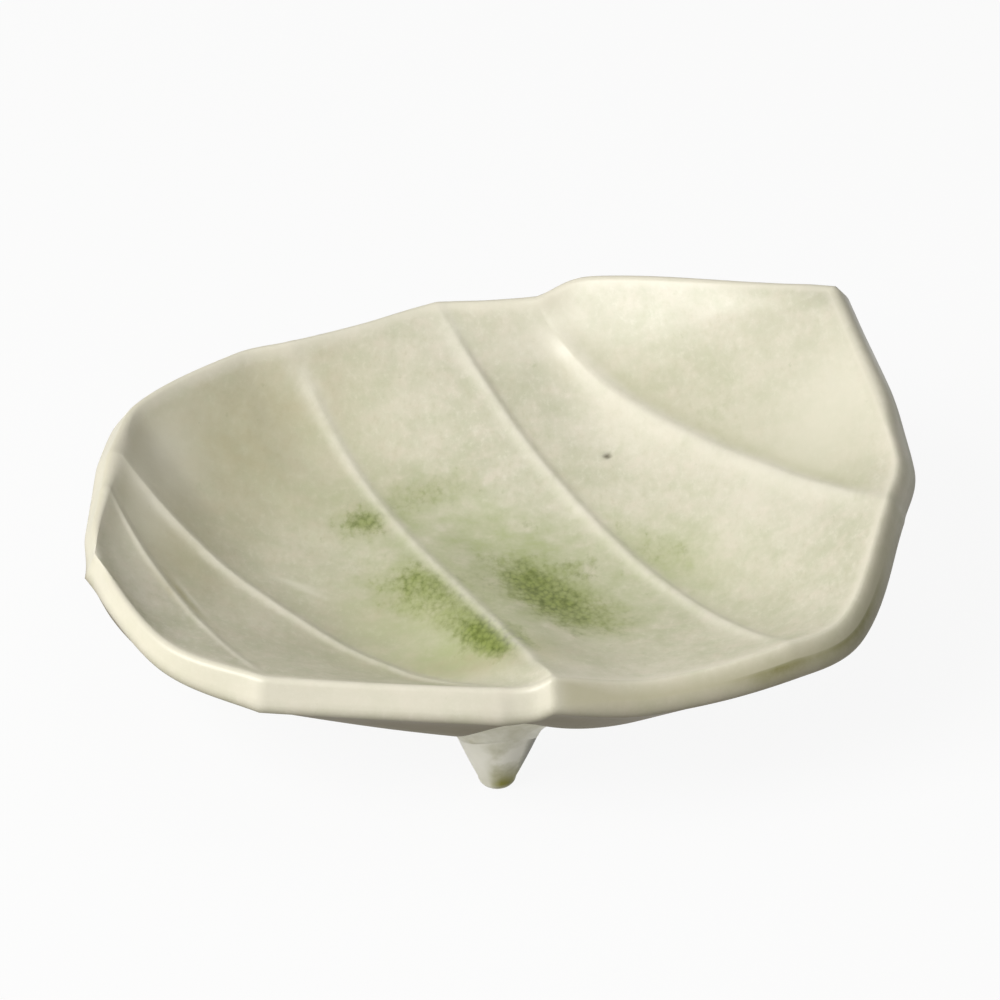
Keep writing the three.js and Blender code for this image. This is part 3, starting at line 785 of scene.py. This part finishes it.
def roll_foot(name, place, tops):
    """A foot at a place on the table. Its flank ends below the slab at the heights given as its tops."""
    rings = []
    for bend in np.linspace(0, math.pi / 2, TIP_STEPS + 1)[:-1]:
        radius = PAD_RADIUS + (TIP_RADIUS - PAD_RADIUS) * math.sin(bend)
        rings.append(ring(place, radius, level + TIP_ROUNDING * (1 - math.cos(bend))))
    for share in np.linspace(0, 1, FOOT_STEPS + 1):
        rings.append(ring(place, foot_radius(share), TIP_ROUNDING + (tops - TIP_ROUNDING) * share))
    for inner in INNER_RINGS:
        flat = ring(place, TOP_RADIUS * inner, level)
        flat[:, 2] = [seat_height(x, y) for x, y, _ in flat]
        rings.append(flat)
    foot = skin_rings("rolled_foot_" + name, rings, closed=False)
    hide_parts("foot_" + name)
    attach(foot, "root")
    # how far each point lies to the right, for the painted highlight on the left and painted shade on the
    # right
    side = np.tile(np.cos(turns), len(rings))
    foot.data.attributes.new("side", "FLOAT", "POINT").data.foreach_set("value", side)
    return foot


print("rings in a foot", TIP_STEPS + FOOT_STEPS + 1 + len(INNER_RINGS))

# %% [markdown]
# ## Luting coils
# A luting coil is a thin roll of wet clay that closes the joint between two pieces. This one was smoothed
# with a finger, so its section is a sliver: one side lies along the flank of the foot, and the other is a
# curve from the slab to the flank. A torus would look like a separate ring. A loop of rings runs out
# thin.

# %% Coils
COIL_WIDTH, COIL_DROP, COIL_LIP, COIL_STEPS = 2.4, 3.4, 0.08, 9
COIL_CLEARANCE, COIL_SINK = 0.1 * JOINT_GAP, 1.5 * JOINT_GAP  # off the flank, and up into the slab
FOOT_PLACES = {"front": (0, -44.5), "back_left": (-35, 21.7), "back_right": (35, 21.7)}


def lay_coil(name, place, tops):
    """The coil round the top of a foot."""
    start = 1 - COIL_DROP / tops.mean()
    top_reach = TOP_RADIUS + JOINT_GAP + COIL_WIDTH
    low_reach = foot_radius(start) + COIL_LIP
    loop = []
    for share in np.linspace(start, 1, COIL_STEPS):
        heights = TIP_ROUNDING + (tops - TIP_ROUNDING) * share
        loop.append(ring(place, foot_radius(share) + COIL_CLEARANCE, heights))
    seat = np.array([seat_height(x, y) + COIL_SINK for x, y, _ in ring(place, top_reach, level)])
    low = loop[0][:, 2]
    for s in np.linspace(0, 1, COIL_STEPS):
        a, b, c = (1 - s) ** 2, 2 * s * (1 - s), s ** 2
        radius = a * top_reach + b * TOP_RADIUS + c * low_reach
        loop.append(ring(place, radius, a * seat + b * tops + c * low))
    coil = skin_rings("luting_coil_" + name + "_skin", loop[::-1], closed=True)
    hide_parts("luting_coil_" + name)
    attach(coil, "root")
    return coil


feet, coils = [], []
for name, place in FOOT_PLACES.items():
    place = np.array(place) + PLAN_SHIFT[:2]
    tops = np.array([seat_height(x, y) for x, y, _ in ring(place, TOP_RADIUS, level)])
    feet.append(roll_foot(name, place, tops))
    coils.append(lay_coil(name, place, tops))
    print(feet[-1].name, "is", tops.mean().round(1), "mm high, with", coils[-1].name)

# %% [markdown]
# ## Layers of glaze
# A glaze shows many looks over one another: a mottle, a bloom, a pool, a worn crest. Each is one colour
# with a share that changes over the plate. The share is a product of masks, such as a noise and a mark
# stored on the points, and each mask can be read over a range of its values. A table of such layers is
# easier to change than a chain of nodes drawn by hand, so two functions turn a table into nodes.

# %% Layers from masks
SPAN = ("From Min", "From Max", "To Min", "To Max")
PRODUCT = {"operation": "MULTIPLY", "use_clamp": True}


def share_of(tree, most, *masks):
    """Product of masks and of a greatest share. A mask is a socket, with the range that it is read over."""
    share = None
    for mask, *span in masks:
        if span:
            values = dict(zip(SPAN, span))
            mask = add_node(tree, "ShaderNodeMapRange", values, {"Value": mask}).outputs["Result"]
        if share is not None:
            mask = add_node(tree, "ShaderNodeMath", {}, {0: share, 1: mask}, **PRODUCT).outputs[0]
        share = mask
    if most < 1:
        share = add_node(tree, "ShaderNodeMath", {1: most}, {0: share}, **PRODUCT).outputs[0]
    return share


def lay_colours(tree, first, layers):
    """Lays colours over a first one, in order. Each has a hex value, its greatest share and its masks."""
    base = add_node(tree, "ShaderNodeRGB")
    base.outputs[0].default_value = linear(first)
    colour = base.outputs[0]
    for hex_colour, most, *masks in layers:
        links = {"Factor": share_of(tree, most, *masks), "A": colour}
        mix = add_node(tree, "ShaderNodeMix", {"B": linear(hex_colour)}, links, data_type="RGBA")
        colour = mix.outputs["Result"]
    return colour


print("a mask is read over", SPAN)

# %% [markdown]
# ## Celadon glaze
# Celadon is a feldspar glaze, dipped and fired over pale stoneware. It is a clear skin of glass over
# clay, so it has a satin sheen and a colour that follows its thickness: cream on crests and edges,
# grey-green on the panels, olive in the valleys, green in the pools. The valleys also take painted shade
# beside the folds, and the underside and the edge right of the front corner are darker with painted
# shade. A fine crackle with cells about a millimetre wide shows only where the glaze is thick. Painted
# pictures could hold all this, but noise with real sizes stays sharp from near. These are the noises, the
# crackle and the marks that the layers use.

# %% Patterns in the glaze
MOTTLE_MM, CLOUD_MM, CLUMP_MM = 18.0, 5.0, 3.0
GRAIN_MM = 1.4
FLOW = (1.0, 0.6, 1.0)  # the glaze flowed front to back, so its grain is drawn longer that way
CRACKLE_MM, CRACKLE_BEND = 1.0, 0.6  # width of a cell, and how far its edge wanders as a share of it
SOFT_NOISE = {"Scale": 1 / (CLOUD_MM * MM), "Detail": 3.0, "Roughness": 0.6}

# Dipping leaves an uneven glassy coat: the eye sees a satin sheen over colour that deepens with thickness.
# Some of that colour is painted shade and painted light.
dish_glaze, tree = new_material("crackled_celadon_glaze_dipped")
where = add_node(tree, "ShaderNodeTexCoord").outputs["Object"]
flow = add_node(tree, "ShaderNodeMapping", {"Scale": FLOW}, {"Vector": where}).outputs[0]
cloud = add_node(tree, "ShaderNodeTexNoise", SOFT_NOISE, {"Vector": where}).outputs["Fac"]
noises = []
for place, size, rough in ((where, MOTTLE_MM, 0.6), (flow, GRAIN_MM, 0.7), (flow, CLUMP_MM, 0.65)):
    values = {"Scale": 1 / (size * MM), "Detail": 4.0, "Roughness": rough}
    noises.append(add_node(tree, "ShaderNodeTexNoise", values, {"Vector": place}).outputs["Fac"])
mottle, grain, clump = noises
fine = {"Scale": 1 / (CRACKLE_MM * MM)}
wander = add_node(tree, "ShaderNodeTexNoise", fine, {"Vector": flow}).outputs["Color"]
reach = {"Scale": CRACKLE_BEND * CRACKLE_MM * MM}
bend = add_node(tree, "ShaderNodeVectorMath", reach, {0: wander}, operation="SCALE").outputs[0]
bent = add_node(tree, "ShaderNodeVectorMath", {}, {0: flow, 1: bend}, operation="ADD").outputs[0]
net = add_node(tree, "ShaderNodeTexVoronoi", fine, {"Vector": bent}, feature="F1").outputs["Distance"]
crack = share_of(tree, 1, (net, 0.25, 0.8), (grain, 0.38, 0.62, 0.35, 1.0))
mark = {name: add_node(tree, "ShaderNodeAttribute", attribute_name=name).outputs["Fac"]
        for name in (*marks, "haze_and_painted_shade", "pool", "heart", "thick", "thin_glaze_and_painted_light")}
print("marks", list(mark))

# %% [markdown]
# ## Glaze on the dish
# The layers run from the clay's own tone up to what lies on top: mottle and bloom, thick and thin places
# with their painted shade and light, pools with their hearts and their crackle, worn folds and rim, the
# painted shade down the edge, and the painted shade of the underside. A pool's soft edge is broken up by
# a noise, as glaze creeps. The underside is drier, because it was wiped.

# %% Glaze on the dish
RAGGED = (0.22, 0.9)  # from where to where a pushed patch comes in
GLAZE_IOR = 1.52


def ragged_patch(tree, patch, clump, push):
    """Gives the soft edge of a patch the ragged shape of a noise."""
    pushed = add_node(tree, "ShaderNodeMath", {1: push}, {0: clump, 2: patch}, operation="MULTIPLY_ADD")
    return share_of(tree, 1, (pushed.outputs[0], 0.5 * push + RAGGED[0], 0.5 * push + RAGGED[1]))


pool = share_of(tree, 1, (ragged_patch(tree, mark["pool"], clump, 0.8),), (grain, 0.34, 0.64, 0.55, 1.1))
heart = ragged_patch(tree, mark["heart"], clump, 1.3)
colour = lay_colours(tree, "#d8d3be", [
    ("#c6c4aa", 1, (mottle, 0.35, 0.68)),
    ("#ded4c2", 0.6, (cloud, 0.5, 0.72)),
    ("#bfc1a2", 0.5, (cloud, 0.48, 0.3)),
    ("#ebe6d6", 0.36, (grain, 0.52, 0.7)),
    ("#b9b593", 0.32, (grain, 0.47, 0.3)),
    # thick olive glaze and painted shade, from the thick mark
    ("#aea77d", 1, (mark["thick"],), (cloud, 0.3, 0.7, 0.6, 1.0)),
    # thin cream glaze and painted light, from the thin mark
    ("#e6e1ce", 1, (mark["thin_glaze_and_painted_light"],)),
    # olive glaze in the valleys, and painted shade beside the folds
    ("#a3a279", 0.4, (mark["valley"],)),
    # green haze, with one patch of painted shade
    ("#adb482", 1, (mark["haze_and_painted_shade"],), (cloud, 0.3, 0.7, 0.9, 0.35)),
    ("#98a15e", 0.7, (pool,)),
    ("#889645", 0.85, (heart,)),
    ("#6c7738", 0.5, (pool,), (crack,)),
    ("#505e14", 0.9, (heart,), (crack,)),
    ("#e6e1cf", 0.7, (mark["fold"],), (clump, 0.32, 0.6, 0.55, 1.0)),
    ("#e4decb", 0.7, (mark["rim"],)),
    # painted shade on the edge right of the front corner and on the left rim
    ("#b4ae8a", 0.85, (mark["run"],)),
    ("#848046", 1, (mark["gather"],), (clump, 0.35, 0.6, 0.7, 1.0)),
    # painted shade of the underside, darkest along its edge
    ("#6b6047", 0.88, (mark["under"],)),
    ("#4e4630", 1, (mark["pit"],)),
])
satin = share_of(tree, 1, (mottle, 0.3, 0.7, 0.36, 0.48))
dry = add_node(tree, "ShaderNodeMath", {1: 0.4}, {0: mark["under"], 2: satin}, operation="MULTIPLY_ADD")
peel = add_node(tree, "ShaderNodeBump", {"Strength": 0.25, "Distance": 0.2 * MM}, {"Height": cloud})
glassy = {"IOR": GLAZE_IOR, "Coat Weight": 0.16, "Coat Roughness": 0.28}
looks = {"Base Color": colour, "Roughness": dry.outputs[0], "Normal": peel.outputs["Normal"]}
glaze = add_node(tree, "ShaderNodeBsdfPrincipled", glassy, looks)
add_node(tree, "ShaderNodeOutputMaterial", links={"Surface": glaze.outputs[0]})
dish_mesh.materials.append(dish_glaze)
print("glaze nodes", len(tree.nodes))

# %% [markdown]
# ## Glaze on the feet
# On a foot the glaze runs down while it melts: thin and cream on the flank and olive in a bead above the
# tip. The flank is lighter on the left, a painted highlight, and dark down the right, a painted shade.
# How far a point lies to the right is stored on the mesh, and the height above the table does the rest.
# The pad is wiped bare before firing, so it shows the clay.

# %% Glaze on the feet
QUIET = {"IOR": GLAZE_IOR, "Specular IOR Level": 0.15}

# The coat thinned as it ran down: the eye sees a quiet, pale flank with an olive bead at the tip, a painted
# highlight on the left and painted shade on the right.
foot_glaze, tree = new_material("celadon_glaze_run_down_foot")
where = add_node(tree, "ShaderNodeTexCoord").outputs["Object"]
height = add_node(tree, "ShaderNodeSeparateXYZ", links={0: where}).outputs["Z"]
cloud = add_node(tree, "ShaderNodeTexNoise", SOFT_NOISE, {"Vector": where}).outputs["Fac"]
side = add_node(tree, "ShaderNodeAttribute", attribute_name="side").outputs["Fac"]
bead_top = (height, 2.5 * MM, 6.5 * MM, 1.0, 0.0)
bead_foot = (height, 0.6 * MM, 1.8 * MM, 0.25, 1.0)
colour = lay_colours(tree, "#f8f5e8", [
    # less grey mottle on the left of the flank: a painted highlight
    ("#cdcab0", 1, (cloud, 0.35, 0.68), (side, -0.45, -0.1, 0.15, 1.0)),
    # painted shade down the right flank
    ("#504d33", 1, (side, 0.72, 0.95)),
    ("#9a9648", 1, bead_top, bead_foot, (side, -0.4, 0.2, 0.15, 1.0)),
    ("#b6a283", 1, (height, 0.15 * MM, 0.5 * MM, 1.0, 0.0)),
])
satin = share_of(tree, 1, (height, 0.2 * MM, 0.6 * MM, 0.8, 0.38))
glaze = add_node(tree, "ShaderNodeBsdfPrincipled", QUIET, {"Base Color": colour, "Roughness": satin})
add_node(tree, "ShaderNodeOutputMaterial", links={"Surface": glaze.outputs[0]})
for foot in feet:
    foot.data.materials.append(foot_glaze)
print("foot glaze nodes", len(tree.nodes))

# %% [markdown]
# ## Glaze on the coils
# Glaze gathers in the corner between foot and slab, so the coil keeps a slightly greyer coat than the
# flank. It could share the foot's material, but the bead and the bare pad have no place on it.

# %% Glaze on the coils
# Glaze gathered over finger-smoothed clay: the eye sees a soft collar without a hard edge.
coil_glaze, tree = new_material("celadon_glaze_gathered_on_luting_coil")
where = add_node(tree, "ShaderNodeTexCoord").outputs["Object"]
cloud = add_node(tree, "ShaderNodeTexNoise", SOFT_NOISE, {"Vector": where}).outputs["Fac"]
colour = lay_colours(tree, "#f4f1e2", [("#d6d2bb", 1, (cloud, 0.35, 0.68))])
satin = share_of(tree, 1, (cloud, 0.3, 0.7, 0.36, 0.46))
glaze = add_node(tree, "ShaderNodeBsdfPrincipled", QUIET, {"Base Color": colour, "Roughness": satin})
add_node(tree, "ShaderNodeOutputMaterial", links={"Surface": glaze.outputs[0]})
for coil in coils:
    coil.data.materials.append(coil_glaze)
print("materials", [material.name for material in bpy.data.materials])

# %% [markdown]
# ## Sizes
# The dressed plate must not grow out of the solid model's box, so its own box is printed.

# %% Sizes and finish
low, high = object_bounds()
print("visual box in mm", [round(c / MM, 1) for c in low], [round(c / MM, 1) for c in high])
